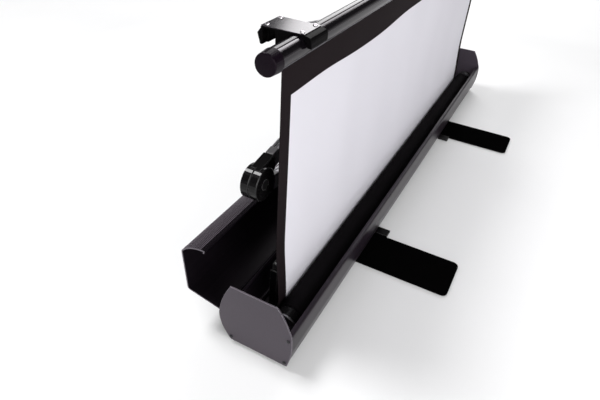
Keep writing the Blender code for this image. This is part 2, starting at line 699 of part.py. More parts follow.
def arm_pieces(name, start, across, up, plane, joint, lower, halves, pin_nodes):
    """One arm, built along X from its end pivot, with the knuckle pivot on the +Z side of the tube."""
    frame = Matrix.Identity(4)
    along = math.cos(TUBE_ANGLE)
    rise = math.sin(TUBE_ANGLE)
    frame.col[0] = Vector((across * along, 0, up * rise, 0))
    frame.col[2] = Vector((-across * rise, 0, up * along, 0))
    frame.translation = Vector((start[0], plane, start[1]))
    reach = ARM_LENGTH * math.cos(ARM_TILT)
    knuckle = (reach, 0, KNUCKLE_RISE)
    center = (reach * ARM_SHORT / ARM_LENGTH, 0, KNUCKLE_RISE * ARM_SHORT / ARM_LENGTH)
    half = TUBE_WIDTH / 2
    high = TUBE_HEIGHT / 2
    spigot_wide = half - TUBE_WALL - FIT_GAP
    spigot_high = high - GROOVE_DEPTH - TUBE_WALL - FIT_GAP

    outer, inner = tube_loops()
    tube = prism("X", END_PLUG + FIT_GAP, reach - COLLAR_END - FIT_GAP, outer, inner)
    bore = PIN_RADIUS + FIT_GAP / 2 if pin_nodes else BORE_RADIUS
    cut(tube, drill("Y", center, bore, -TUBE_WIDTH, TUBE_WIDTH, 16))
    keep(placed(tube, frame), name + "_tube", "grey_metal", joint)

    shape = arc((0, 0), high, math.pi / 2, math.pi * 3 / 2, 12) + [(END_PLUG, -high), (END_PLUG, high)]
    plug = prism("Y", -half, half, shape)
    ease_edges(plug, CHAMFER, 1)
    low = (END_PLUG - CHAMFER * 4, -spigot_wide, -spigot_high)
    join(plug, box(low, (END_PLUG + SPIGOT_LENGTH, spigot_wide, spigot_high)))
    cut(plug, drill("Y", (0, 0, 0), BORE_RADIUS, -TUBE_WIDTH, TUBE_WIDTH, 16))
    keep(placed(plug, frame), name + "_end", "black_plastic", joint)

    low = (reach - COLLAR_END, -half, -high - COLLAR_PROUD)
    collar = box(low, (reach - SOCKET_FRONT - FIT_GAP, half, high))
    ease_edges(collar, CHAMFER * 2, 2)
    low = (reach - COLLAR_END - SPIGOT_LENGTH, -spigot_wide, -spigot_high)
    join(collar, box(low, (reach - TONGUE_END - FIT_GAP, spigot_wide, spigot_high)))
    keep(placed(collar, frame), name + "_collar", "collar_grey", joint)

    front, rear = halves
    split = FIT_GAP / 2
    mine = (split, rear) if lower else (-front, -split)
    disc = rod("Y", knuckle, DRUM_RADIUS, mine[0], mine[1], CHAMFER * 2, 36)
    above = high + CHAMFER * 2 / 5
    under = KNUCKLE_RISE - SOCKET_TOP
    shape = [(reach - SOCKET_FRONT, above), (reach - SOCKET_FRONT, under)]
    shape += [(reach + SOCKET_BACK * 2 / 5, under), (reach + SOCKET_BACK, under + SOCKET_TOP / 5)]
    shape += [(reach + SOCKET_BACK, above)]
    socket = prism("Y", -SOCKET_HALF, SOCKET_HALF, shape)
    ease_edges(socket, CHAMFER * 2, 1)
    join(disc, socket)
    clear = DRUM_RADIUS + SLIDE_GAP
    edge = split * 9 / 10
    other = (-TUBE_WIDTH * 2, edge) if lower else (-edge, TUBE_WIDTH * 2)
    tools = [drill("Y", knuckle, clear, other[0], other[1], 36)]
    bore = KNUCKLE_PIN + FIT_GAP
    tools.append(drill("Y", knuckle, bore, -TUBE_WIDTH * 2, TUBE_WIDTH * 2))
    sink = KNUCKLE_HEAD_DEPTH + FIT_GAP * 2
    if lower:
        tools.append(drill("Y", knuckle, KNUCKLE_HEAD + FIT_GAP, rear - sink, rear + sink))
    else:
        tools.append(drill("Y", knuckle, KNUCKLE_HEAD + FIT_GAP, -front - sink, -front + sink))
    low = (reach - SOCKET_FRONT - FIT_GAP, -spigot_wide - FIT_GAP, -spigot_high - FIT_GAP)
    tools.append(box(low, (reach - TONGUE_END, spigot_wide + FIT_GAP, spigot_high + FIT_GAP)))
    cut(disc, *tools)
    keep(placed(disc, frame), name + "_knuckle", "black_plastic", joint)

    if lower:
        head = KNUCKLE_HEAD
        front_face = -front + FIT_GAP
        rear_face = rear - FIT_GAP
        profile = [(0, front_face), (head - CHAMFER, front_face), (head, front_face + CHAMFER)]
        profile += [(head, front_face + KNUCKLE_HEAD_DEPTH), (KNUCKLE_PIN, front_face + KNUCKLE_HEAD_DEPTH)]
        profile += [(KNUCKLE_PIN, rear_face - KNUCKLE_HEAD_DEPTH), (head, rear_face - KNUCKLE_HEAD_DEPTH)]
        profile += [(head, rear_face), (0, rear_face)]
        pin = turned("Y", knuckle, profile, 20)
        keep(placed(pin, frame), pin_nodes[-1], "zinc", joint)
    if len(pin_nodes) > 1 or (pin_nodes and not lower):
        front_face = -half - FIT_GAP - PIN_HEAD_DEPTH
        spacer = half + FIT_GAP
        far = half + PLANE_GAP - FIT_GAP
        rear_face = half + PLANE_GAP + TUBE_WIDTH + FIT_GAP
        profile = [(0, front_face), (PIN_HEAD, front_face), (PIN_HEAD, front_face + PIN_HEAD_DEPTH)]
        profile += [(PIN_RADIUS, front_face + PIN_HEAD_DEPTH), (PIN_RADIUS, spacer), (PIN_HEAD, spacer)]
        profile += [(PIN_HEAD, far), (PIN_RADIUS, far), (PIN_RADIUS, rear_face), (PIN_HEAD, rear_face)]
        profile += [(PIN_HEAD, rear_face + PIN_HEAD_DEPTH), (0, rear_face + PIN_HEAD_DEPTH)]
        pin = turned("Y", center, profile, 16)
        keep(placed(pin, frame), pin_nodes[0], "zinc", joint)


def make_arms():
    left = (-PIVOT_X, BASE_Z)
    right = (PIVOT_X, BASE_Z)
    base_left = (-PIVOT_X, FRONT_PLANE, BASE_Z)
    lower_center = (0, REAR_PLANE, LOWER_CENTER_Z)
    knuckle_left = (-KNUCKLE_X, REAR_PLANE, KNUCKLE_Z)
    knuckle_right = (KNUCKLE_X, FRONT_PLANE, KNUCKLE_Z)
    wide = (DRUM_HALF, DRUM_HALF)
    slim = (RIGHT_FRONT_HALF, DRUM_HALF)
    lower_pins = ("lower_center_pin", "knuckle_pin_right")
    arm_pieces("arm_a1", left, 1, 1, FRONT_PLANE, base_left, True, slim, lower_pins)
    arm_pieces("arm_b1", right, -1, 1, REAR_PLANE, lower_center, True, wide, ("knuckle_pin_left",))
    top_left = (-PIVOT_X, TOP_Z)
    top_right = (PIVOT_X, TOP_Z)
    arm_pieces("arm_b2", top_left, 1, -1, FRONT_PLANE, knuckle_right, False, slim, ("upper_center_pin",))
    arm_pieces("arm_a2", top_right, -1, -1, REAR_PLANE, knuckle_left, False, wide, ())


def clevis(center_x, plane, side, floor, outward):
    """Two cheeks and a back wall round an arm's end.

    Side is the way along X to the knuckle beside it, and outward the way along Y to the full cheek.
    """
    half = TUBE_WIDTH / 2
    crown = BASE_Z + CHEEK_RISE
    waist = CASE_LIFT + NARROW_HEIGHT

    def at(distance):
        return center_x + side * distance

    outer_x = at(-CHEEK_RIGHT)
    wall_x = at(BACK_WALL_PLACE + BACK_WALL)
    full = [(outer_x, floor), (at(CHEEK_LEFT), floor), (at(CHEEK_LEFT), crown), (outer_x, crown)]
    slim = [(outer_x, floor), (wall_x, floor), (wall_x, waist)]
    slim += [(at(CHEEK_NARROW), waist), (at(CHEEK_NARROW), crown), (outer_x, crown)]
    near = half + SIDE_GAP
    far = half + SIDE_GAP + CHEEK
    rounded = eased(full + full[:1], EDGE_EASE)[1:-1]
    front = prism("Y", plane - far, plane - near, rounded if outward < 0 else slim)
    rear = prism("Y", plane + near, plane + far, slim if outward < 0 else full)
    low, high = sorted((at(BACK_WALL_PLACE), wall_x))
    wall = box((low, plane - far + CHEEK / 2, floor), (high, plane + far - CHEEK / 2, waist - FIT_GAP))
    upper_front = plane - far + CHEEK / 2 if outward < 0 else plane - near + FIT_GAP
    upper_rear = plane + near - FIT_GAP if outward < 0 else plane + far - CHEEK / 2
    upper = box((low, upper_front, waist - FIT_GAP * 4), (high, upper_rear, crown - BACK_WALL_DROP))
    join(front, rear, wall, upper)
    return front


def make_bases():
    floor = FLOOR_TOP
    low_x = -PIVOT_X - CHEEK_LEFT
    high_x = -PIVOT_X + CHEEK_RIGHT
    reach = TUBE_WIDTH / 2 + SIDE_GAP + CHEEK
    bracket = clevis(-PIVOT_X, FRONT_PLANE, -1, floor, -1)
    plate = box((low_x, FRONT_PLANE - reach, floor), (high_x, FRONT_PLANE + reach, floor + FLOOR_PLATE))
    join(bracket, plate)
    bore = ("Y", (-PIVOT_X, FRONT_PLANE, BASE_Z), PIN_RADIUS + FIT_GAP / 2, -TUBE_WIDTH * 2, TUBE_WIDTH * 2, 16)
    cut(bracket, drill(*bore))
    keep(bracket, "base_bracket_left", "black_metal")
    pin = rod("Y", (-PIVOT_X, FRONT_PLANE, BASE_Z), PIN_RADIUS, -reach, reach, CHAMFER, 16)
    keep(pin, "base_pin_left", "zinc")

    half = RAIL_WIDTH / 2
    slot = RAIL_SLOT / 2
    crown = floor + RAIL_HEIGHT
    shape = []
    for way in (1, -1):
        inside = half - RAIL_WALL
        run = [(half, floor), (half, crown), (slot, crown), (slot, crown - RAIL_WALL)]
        run += [(inside, crown - RAIL_WALL), (inside, floor + RAIL_WALL)]
        shape += [(RAIL_Y + across * way, up) for across, up in run[::way]]
    keep(prism("X", PIVOT_X - RAIL_INWARD, PIVOT_X + RAIL_OUTWARD, shape), "base_rail", "grey_metal")

    origin = (PIVOT_X, REAR_PLANE, BASE_Z)
    deck = CASE_LIFT + DECK_HEIGHT
    carriage = clevis(PIVOT_X, REAR_PLANE, 1, deck, 1)
    low_x = PIVOT_X - CHEEK_RIGHT
    high_x = PIVOT_X + CHEEK_LEFT
    front = min(RAIL_Y - slot, REAR_PLANE - reach)
    top = box((low_x, front, deck), (high_x, REAR_PLANE + reach, deck + DECK_THICKNESS))
    inset = RAIL_WALL + SLIDE_GAP
    wide = half - inset
    shoe = box((low_x, RAIL_Y - wide, floor + inset), (high_x, RAIL_Y + wide, crown - inset))
    slim = slot - SLIDE_GAP
    neck_top = deck + DECK_THICKNESS / 2
    neck = box((low_x, RAIL_Y - slim, floor + inset * 2), (high_x, RAIL_Y + slim, neck_top))
    join(carriage, top, neck, shoe)
    bore = ("Y", origin, PIN_RADIUS + FIT_GAP / 2, -TUBE_WIDTH * 2, TUBE_WIDTH * 2, 16)
    cut(carriage, drill(*bore))
    keep(carriage, "base_carriage", "black_plastic", origin)
    keep(rod("Y", origin, PIN_RADIUS, -reach, reach, CHAMFER, 16), "base_pin_right", "zinc", origin)


# Top bar
def make_bar():
    center = (BAR_Y, BAR_Z)
    origin = (-PIVOT_X, FRONT_PLANE, TOP_Z)
    slot = math.asin(SLOT_HALF / BAR_RADIUS)
    crown = math.pi / 2 + GROOVE_TURN
    outer = arc(center, BAR_RADIUS, slot - math.pi / 2, crown - RIDGE_ANGLE, 24)
    outer += arc(center, BAR_RADIUS + RIDGE_RISE, crown - RIDGE_ANGLE, crown - GROOVE_ANGLE, 4)
    outer += arc(center, BAR_RADIUS - RIDGE_RISE, crown - GROOVE_ANGLE, crown + GROOVE_ANGLE, 2)
    outer += arc(center, BAR_RADIUS + RIDGE_RISE, crown + GROOVE_ANGLE, crown + RIDGE_ANGLE, 4)
    outer += arc(center, BAR_RADIUS, crown + RIDGE_ANGLE, math.pi * 3 / 2 - slot, 20)
    slot = math.asin(SLOT_HALF / BAR_BORE)
    inner = arc(center, BAR_BORE, math.pi * 3 / 2 - slot, slot - math.pi / 2, 32)
    half = BAR_CAP_FACE - BAR_CAP_LENGTH - FIT_GAP
    keep(prism("X", -half, half, outer + inner), "top_bar", "bar_grey", origin)
    for side, word in ((-1, "left"), (1, "right")):
        face = BAR_CAP_FACE
        rim = face - BAR_CAP_LENGTH
        slim = BAR_BORE - FIT_GAP
        small = BAR_CAP_FACE_RADIUS
        round_end = BAR_CAP_ROUND
        profile = [(0, rim - BAR_CAP_SPIGOT), (slim, rim - BAR_CAP_SPIGOT), (slim, rim)]
        profile += [(BAR_CAP_RADIUS - CHAMFER, rim), (BAR_CAP_RADIUS, rim + CHAMFER)]
        turn = [(small - round_end, face - round_end * 3 / 2)] * 4
        for step, (radius, along) in enumerate(turn):
            angle = math.pi / 2 * step / len(turn)
            profile.append((radius + round_end * math.cos(angle), along + round_end * math.sin(angle)))
        profile += [(small - round_end, face - round_end / 2), (small / 2, face - round_end / 8), (0, face)]
        if side < 0:
            profile = [(radius, -along) for radius, along in profile]
        keep(turned("X", (0, BAR_Y, BAR_Z), profile, 36), "bar_cap_" + word, "cap_black", origin)


def make_bracket(side, word):
    x = side * PIVOT_X
    origin = (-PIVOT_X, FRONT_PLANE, TOP_Z) if side < 0 else (PIVOT_X, REAR_PLANE, TOP_Z)
    half = COVER_WIDTH / 2
    roof = BAR_Z + COVER_RISE
    bottom = BAR_Z - BODY_DROP
    cover_rear = BAR_Y + COVER_REAR
    rear = BAR_Y + BODY_REAR
    front = BAR_Y - COVER_FRONT
    nose = BAR_Y - NOSE_REACH
    saddle = BAR_RADIUS + RIDGE_RISE + FIT_GAP
    low_angle = -math.asin(BODY_DROP / saddle)
    foot_angle = math.pi - math.asin(NOSE_FOOT / saddle)
    shape = eased([(front, roof), (nose, BAR_Z + NOSE_TOP), (nose, BAR_Z + NOSE_FOOT)], NOSE_ROUND)
    shape += arc((BAR_Y, BAR_Z), saddle, foot_angle, low_angle, 28)
    shape += [(rear - BODY_TAPER, bottom), (rear, roof - SHOULDER), (cover_rear, roof)]
    body = prism("X", x - half, x + half, shape)
    ease_edges(body, CHAMFER, 1)
    ceiling = roof - BODY_ROOF
    near = TUBE_WIDTH / 2 + SIDE_GAP
    below = bottom - BODY_DROP
    out = x + side * (half + SIDE_WALL)
    inward = x - side * (half + SIDE_WALL)
    blind = x + side * (half - END_WALL - CHEEK * 3)
    front_blind = side < 0
    clear_x = x + side * CHEEK_NARROW
    drum_x = x + side * (KNUCKLE_REACH - DRUM_RADIUS - CHEEK / 2)

    def room(one, two, low_y, high_y, top):
        return box((min(one, two), low_y, below), (max(one, two), high_y, top))

    own = FRONT_PLANE if front_blind else REAR_PLANE
    passing = REAR_PLANE if front_blind else FRONT_PLANE
    tools = [room(inward, blind, own - near, own + near, ceiling)]
    tools.append(room(inward, out, passing - near, passing + near, ceiling))
    edge = SOCKET_HALF + SIDE_GAP
    tools.append(room(clear_x, out, passing - edge, passing + edge, ceiling))
    drum_front = passing - DRUM_HALF - SIDE_GAP if front_blind else FRONT_PLANE - edge
    drum_rear = rear + SIDE_WALL if front_blind else passing + DRUM_HALF + SIDE_GAP
    tools.append(room(drum_x, out, drum_front, drum_rear, ceiling))
    cut(body, *tools)
    reach = TUBE_WIDTH / 2 + SIDE_GAP + CHEEK / 2
    join(body, drill("Y", (x, own, TOP_Z), PIN_RADIUS, -reach, reach, 16))
    cuts = []
    plate = box((x - half, front, roof + FIT_GAP), (x + half, cover_rear, roof + FIT_GAP + COVER_THICKNESS))
    screws = []
    top = roof + FIT_GAP + COVER_THICKNESS
    for across in (-1, 1):
        for y in (front + COVER_SCREW_X / 3, cover_rear - COVER_SCREW_X / 3):
            spot = (x + across * COVER_SCREW_X, y, top)
            hole = SCREW_RADIUS + FIT_GAP
            cuts.append(drill("Z", spot, hole, -COVER_SCREW_REACH - FIT_GAP * 2, COVER_SCREW_REACH, 12))
            head = SCREW_HEAD_HEIGHT
            profile = [(0, -COVER_SCREW_REACH), (SCREW_RADIUS, -COVER_SCREW_REACH), (SCREW_RADIUS, -CHAMFER)]
            profile += [(SCREW_HEAD_RADIUS, -CHAMFER), (SCREW_HEAD_RADIUS, 0)]
            profile += [(SCREW_HEAD_RADIUS * 9 / 10, head * 6 / 10)]
            profile += [(SCREW_HEAD_RADIUS / 2, head), (0, head)]
            screws.append(turned("Z", spot, profile, 12))
    cut(body, *cuts)
    join(plate, *screws)
    keep(body, "top_bracket_" + word, "black_plastic", origin)
    keep(plate, "bracket_cover_" + word, "black_gloss", origin)


def make_pull():
    origin = (-PIVOT_X, FRONT_PLANE, TOP_Z)
    back = BAR_Y - BAR_RADIUS / 2
    front = BAR_Y - BAR_RADIUS - PULL_DEPTH
    half = PULL_LENGTH / 2
    outline = [(-half, back), (-half, front), (half, front), (half, back)]
    near = BAR_Y - BAR_RADIUS - PULL_BAND / 2
    hole = [(-half + PULL_BAND, near), (-half + PULL_BAND, front + PULL_BAND)]
    hole += [(half - PULL_BAND, front + PULL_BAND), (half - PULL_BAND, near)]
    grip = prism("Z", BAR_Z - PULL_HEIGHT / 2, BAR_Z + PULL_HEIGHT / 2, outline, hole)
    ease_edges(grip, EDGE_EASE)
    cut(grip, drill("X", (0, BAR_Y, BAR_Z), BAR_RADIUS + FIT_GAP, -PULL_LENGTH, PULL_LENGTH, 64))
    keep(grip, "pull_handle", "black_plastic", origin)


for old in list(bpy.data.objects):
    bpy.data.objects.remove(old)

colour("case_paint", (0.105, 0.085, 0.105), 0.3, 0.42)
colour("plate_paint", (0.105, 0.085, 0.105), 0.3, 0.42)
colour("cloth_white", (0.80, 0.80, 0.82), 0, 0.85)
colour("cloth_black", (0.012, 0.011, 0.012), 0, 0.8)
colour("black_plastic", (0.012, 0.012, 0.013), 0, 0.38)
colour("black_gloss", (0.010, 0.010, 0.011), 0.2, 0.22)
colour("cap_black", (0.018, 0.018, 0.019), 0, 0.6)
colour("black_metal", (0.014, 0.014, 0.015), 0.4, 0.45)
colour("bar_grey", (0.10, 0.10, 0.11), 0.8, 0.35)
colour("grey_metal", (0.42, 0.42, 0.45), 0.9, 0.38)
colour("collar_grey", (0.50, 0.50, 0.52), 0.3, 0.5)
colour("zinc", (0.50, 0.50, 0.50), 1, 0.35)
colour("dark_steel", (0.03, 0.03, 0.035), 0.9, 0.35)
colour("spring_steel", (0.30, 0.30, 0.31), 1, 0.35)
colour("rubber", (0.015, 0.015, 0.015), 0, 0.9)

make_shell()
make_end_plates()
make_lid()
make_feet()
make_roller()
make_spring()
make_cloth()
make_arms()
make_bases()
make_bar()
make_bracket(-1, "left")
make_bracket(1, "right")
make_pull()
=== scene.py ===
"""Looks for the pull up projection screen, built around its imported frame."""

import json
import math

import bmesh
import bpy
from mathutils import Matrix, Vector


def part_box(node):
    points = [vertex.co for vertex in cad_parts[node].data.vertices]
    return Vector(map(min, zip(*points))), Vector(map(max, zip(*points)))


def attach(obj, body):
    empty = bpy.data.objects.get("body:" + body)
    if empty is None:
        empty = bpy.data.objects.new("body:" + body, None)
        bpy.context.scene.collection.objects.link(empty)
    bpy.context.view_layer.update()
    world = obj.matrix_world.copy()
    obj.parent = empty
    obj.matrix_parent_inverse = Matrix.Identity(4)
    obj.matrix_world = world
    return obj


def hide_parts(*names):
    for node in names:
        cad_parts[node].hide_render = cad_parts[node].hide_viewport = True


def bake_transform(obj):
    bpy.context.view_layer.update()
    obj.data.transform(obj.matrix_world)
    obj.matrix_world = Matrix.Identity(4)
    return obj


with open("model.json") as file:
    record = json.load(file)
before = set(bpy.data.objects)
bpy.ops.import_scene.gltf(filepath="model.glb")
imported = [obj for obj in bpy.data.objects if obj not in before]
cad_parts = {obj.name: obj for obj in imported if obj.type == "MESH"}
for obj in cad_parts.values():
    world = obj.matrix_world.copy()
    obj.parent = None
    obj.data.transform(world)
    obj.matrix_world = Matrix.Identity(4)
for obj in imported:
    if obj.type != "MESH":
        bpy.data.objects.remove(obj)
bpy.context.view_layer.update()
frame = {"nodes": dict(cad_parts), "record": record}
nodes = frame["nodes"]

# Finishes. Lengths are in metres, and a grain is a noise's scale along X, Y and Z
EDGE_RADIUS = 0.0010
EDGE_DOTS = (0.90, 0.985)  # cosines between which an edge goes from its painted highlight to its plain colour
SAWN_NORMALS = (0.90, 0.95)
PAINT_BUMP = 0.0004
METAL_BUMP = 0.0002
CLOTH_BUMP = 0.0001
WEAVE = (900, 900, 900)
EXTRUDED = (4, 300, 300)
SAWN_GREY = (0.15, 0.135, 0.155)
VIOLET_TINT = (1.0, 0.90, 1.0, 1.0)
SCREW_HEAD = 0.00150
SCREW_GREY = (0.62, 0.60, 0.62)
EDGE_BLUR = 0.00002

# Screen cloth
CLOTH_THICK = 0.00045
SIDE_BORDER = 0.0228
TOP_BORDER = 0.0402
INK_BLUR = 0.0003
OFF_ROLL = 0.0005
FOLD_X = -0.375
FOLD_LONG = 0.170
FOLD_DEEP = 0.0014
CURL_DEEP = 0.0003
CURL_TURN = 41
SLACK_DEEP = 0.0084
SLACK_DIPS = ((1.0, -0.250, 0.115), (0.6, 0.240, 0.130))  # share of the depth, middle and width

# Ribs on the lip of the lid
RIB_PITCH = 0.0026
RIB_WIDE = 0.0012
RIB_TALL = 0.0005
RIB_POINTS = 6
RIB_ROOT = 0.0004
FIRST_RIB = 0.0034
RIBLESS = 0.0060
RIB_INSET = 0.0002
LIP_HIGH = 0.0160
END_SECTION = 0.0005

# Wound cloth
LAP_PITCH = 0.00052
LAP_SHARE = 0.86
LAP_STEPS = 56
ROLL_COLUMNS = 24
CORE_RADIUS = 0.0124
ROLL_INSET = 0.0002
ROLL_END_INSET = 0.0012
ROLL_WAVE = 0.00012
ROLL_WAVE_TURN = 47
LAP_SLIP = 0.0006
LAP_SLIP_FINE = 0.0004

# Floor and world
FLOOR_HALF = 9
FLOOR_DROP = 0.0002
FLOOR_FADE = (1.3, 4.2)  # how far out the floor starts and ends its lift to white
FLOOR_LIFT = (0.13, 0.92)
WORLD_LIGHT = 0.22
CEILING = 0.05
HORIZON = (-0.04, 0.20)  # heights of a ray's direction between which gloss sees white turn into ceiling

# Camera, from the photograph's frame
PHOTO_WIDTH = 600
FOCAL_PIXELS = 496.56
SENSOR = 36


class Tree:
    """Short ways to add nodes to a node tree and to join them."""

    def __init__(self, tree):
        self.tree = tree

    def node(self, kind, **inputs):
        made = self.tree.nodes.new(kind)
        for name, value in inputs.items():
            made.inputs[name.replace("_", " ")].default_value = value
        return made

    def link(self, source, target):
        self.tree.links.new(source, target)

    def maths(self, operation, *sources):
        made = self.node("ShaderNodeMath")
        made.operation = operation
        for index, source in enumerate(sources):
            self.link(source, made.inputs[index])
        return made.outputs["Value"]

    def split(self, vector):
        made = self.node("ShaderNodeSeparateXYZ")
        self.link(vector, made.inputs["Vector"])
        return made.outputs

    def between(self, factor, low, high, start=0.3, end=0.7):
        made = self.node("ShaderNodeMapRange")
        for name, value in (("From Min", start), ("From Max", end), ("To Min", low), ("To Max", high)):
            made.inputs[name].default_value = value
        self.link(factor, made.inputs["Value"])
        return made.outputs["Result"]

    def mix(self, factor, low, high):
        """A colour from low to high, each of which is a socket or a plain colour."""
        made = self.node("ShaderNodeMix")
        made.data_type = "RGBA"
        self.link(factor, made.inputs["Factor"])
        for source, name in ((low, "A"), (high, "B")):
            if isinstance(source, tuple):
                made.inputs[name].default_value = (*source, 1)
            else:
                self.link(source, made.inputs[name])
        return made.outputs["Result"]

    def rays(self, *kinds):
        """One where a ray is of one of these kinds, and otherwise nought."""
        path = self.node("ShaderNodeLightPath")
        total = path.outputs[kinds[0]]
        for kind in kinds[1:]:
            total = self.maths("MAXIMUM", total, path.outputs[kind])
        return total


class Look(Tree):
    """A Principled material with a noise pattern in its colour, roughness and surface."""

    def __init__(self, name):
        self.material = bpy.data.materials.new(name)
        self.material.use_nodes = True
        super().__init__(self.material.node_tree)
        self.shader = self.tree.nodes["Principled BSDF"]
        self.place = self.node("ShaderNodeTexCoord").outputs["Object"]

    def noise(self, grain, detail=3.0, rough=0.5):
        mapping = self.node("ShaderNodeMapping", Scale=grain)
        self.link(self.place, mapping.inputs["Vector"])
        made = self.node("ShaderNodeTexNoise", Scale=1.0, Detail=detail, Roughness=rough)
        self.link(mapping.outputs["Vector"], made.inputs["Vector"])
        return made.outputs["Fac"]

    def colour(self, source):
        self.link(source, self.shader.inputs["Base Color"])

    def roughness(self, factor, low, high):
        self.link(self.between(factor, low, high), self.shader.inputs["Roughness"])

    def bump(self, height, strength, distance):
        made = self.node("ShaderNodeBump", Strength=strength, Distance=distance)
        self.link(height, made.inputs["Height"])
        self.link(made.outputs["Normal"], self.shader.inputs["Normal"])

    def set(self, **values):
        for name, value in values.items():
            self.shader.inputs[name.replace("_", " ")].default_value = value


def painted(name, low, high, rough, grain, strength, gloss, edge_highlight=None, sawn=None):
    """Powder coat or moulding: speckled colour, uneven gloss and a fine orange-peel surface.

    The colour given for the edges is a painted highlight, lighter where light would catch them, and sawn is that of
    the ends of an extrusion."""
    look = Look(name)
    speck = look.noise(grain, 4.0, 0.6)
    tone = look.mix(look.between(speck, 0, 1), low, high)
    if edge_highlight:
        # Painted highlight: edges, found through the Bevel normal, get the lighter colour given for them
        facing = look.node("ShaderNodeVectorMath")
        facing.operation = "DOT_PRODUCT"
        look.link(look.node("ShaderNodeBevel", Radius=EDGE_RADIUS).outputs["Normal"], facing.inputs[0])
        look.link(look.node("ShaderNodeNewGeometry").outputs["Normal"], facing.inputs[1])
        tone = look.mix(look.between(facing.outputs["Value"], 1, 0, *EDGE_DOTS), tone, edge_highlight)
    if sawn:
        normal = look.split(look.node("ShaderNodeNewGeometry").outputs["True Normal"])
        end = look.between(look.maths("ABSOLUTE", normal["X"]), 0, 1, *SAWN_NORMALS)
        tone = look.mix(end, tone, sawn)
    look.colour(tone)
    look.roughness(look.noise((3, 3, 3), 2.0), rough - 0.04, rough + 0.05)
    look.bump(speck, strength, PAINT_BUMP)
    look.set(Specular_IOR_Level=gloss)
    return look


def drawn_metal(name, low, high, rough, grain, metal=0.95, gloss=0.5):
    """Metal with fine lines from drawing or brushing."""
    look = Look(name)
    lines = look.noise(grain, 3.0, 0.7)
    look.colour(look.mix(look.between(lines, 0, 1), low, high))
    look.roughness(lines, rough - 0.05, rough + 0.06)
    look.bump(lines, 0.12, METAL_BUMP)
    look.set(Metallic=metal, Specular_IOR_Level=gloss)
    return look


def black_cloth(name, low, high, rough):
    """Coated screen cloth: a very fine weave under a matte coating."""
    look = Look(name)
    look.colour(look.mix(look.between(look.noise((5, 5, 2), 2.0), 0, 1), low, high))
    weave = look.noise(WEAVE, 2.0, 0.6)
    look.roughness(weave, rough - 0.04, rough + 0.04)
    look.bump(weave, 0.08, CLOTH_BUMP)
    look.set(Specular_IOR_Level=0.02)
    return look


def bare_above(look, height, colour):
    """Bare metal on what stands above the given height, such as the heads of screws."""
    bare = look.between(look.split(look.place)["Z"], 0, 1, height - EDGE_BLUR, height + EDGE_BLUR)
    painted_tone = look.shader.inputs["Base Color"].links[0].from_socket
    look.colour(look.mix(bare, painted_tone, colour))
    look.link(bare, look.shader.inputs["Metallic"])


# Each row: lowest colour, highest colour, roughness, grain, bump, gloss, painted edge highlight, sawn ends
paints = {
    "case_finish": (
        (0.012, 0.0088, 0.0125), (0.018, 0.0135, 0.0187), 0.30, EXTRUDED, 0.06, 0.16, None, SAWN_GREY),
    # The lid: a darker copy of the case paint, painted shade so that its shaded inside reads black
    "lid_painted_shade": (
        (0.0045, 0.0033, 0.0047), (0.0070, 0.0053, 0.0073), 0.32, EXTRUDED, 0.06, 0.08, None, SAWN_GREY),
    # The ribs: far lighter than the lid, a painted highlight along their tops
    "rib_painted_highlight": ((0.075, 0.062, 0.076), (0.110, 0.092, 0.112), 0.26, EXTRUDED, 0.05, 0.55),
    "plate_finish": (
        (0.034, 0.027, 0.036), (0.048, 0.039, 0.051), 0.42, (700, 700, 700), 0.12, 0.50, (0.30, 0.28, 0.31)),
    "black_metal": (
        (0.0040, 0.0036, 0.0040), (0.0070, 0.0062, 0.0070), 0.38, (500, 500, 500), 0.08, 0.06, (0.10, 0.10, 0.10)),
    "cover_gloss": ((0.004, 0.003, 0.005), (0.007, 0.006, 0.009), 0.15, (200, 200, 200), 0.02, 0.70),
    "black_moulding": (
        (0.0030, 0.0028, 0.0030), (0.0055, 0.0050, 0.0055), 0.19, (600, 600, 600), 0.05, 0.20, (0.04, 0.04, 0.041)),
    "bracket_moulding": (
        (0.0024, 0.0022, 0.0024), (0.0044, 0.0040, 0.0044), 0.22, (600, 600, 600), 0.05, 0.01,
        (0.010, 0.010, 0.0102)),
    # The pins' light edge colour is a painted highlight ring around each pin end
    "pin_black": (
        (0.0060, 0.0060, 0.0060), (0.0100, 0.0100, 0.0100), 0.30, (400, 400, 400), 0.05, 0.3, (0.30, 0.30, 0.30)),
    "cap_moulding": ((0.0045, 0.0022, 0.0048), (0.0070, 0.0040, 0.0074), 0.22, (900, 900, 900), 0.08, 0.07),
    "sole_rubber": ((0.0050, 0.0050, 0.0050), (0.0090, 0.0085, 0.0085), 0.85, (400, 400, 400), 0.20, 0.15),
    "collar_moulding": ((0.050, 0.047, 0.051), (0.072, 0.068, 0.074), 0.40, (500, 500, 500), 0.06, 0.4),
    "foot_finish": ((0.0012, 0.0011, 0.0012), (0.0020, 0.0019, 0.0020), 0.70, (400, 400, 400), 0.10, 0.0),
}

# Each row: lowest colour, highest colour, roughness, grain, and metalness and gloss where they aren't the usual
metals = {
    "bar_metal": ((0.0030, 0.0024, 0.0032), (0.0055, 0.0046, 0.0058), 0.14, (2, 500, 500), 0.0, 0.34),
    "tube_metal": ((0.19, 0.185, 0.20), (0.28, 0.275, 0.29), 0.30, (3, 400, 3)),
    "pin_metal": ((0.36, 0.36, 0.35), (0.48, 0.48, 0.47), 0.32, (300, 30, 300)),
    "screw_metal": ((0.018, 0.018, 0.020), (0.035, 0.034, 0.038), 0.25, (400, 400, 400), 0.6),
    "spring_metal": ((0.24, 0.24, 0.24), (0.34, 0.34, 0.34), 0.3, (200, 200, 200)),
}

# Each row: lowest colour, highest colour, roughness
cloths = {
    "roll_cloth": ((0.0040, 0.0034, 0.0040), (0.0065, 0.0055, 0.0065), 0.72),
    "cloth_back": ((0.0040, 0.0036, 0.0040), (0.0065, 0.0058, 0.0065), 0.70),
}

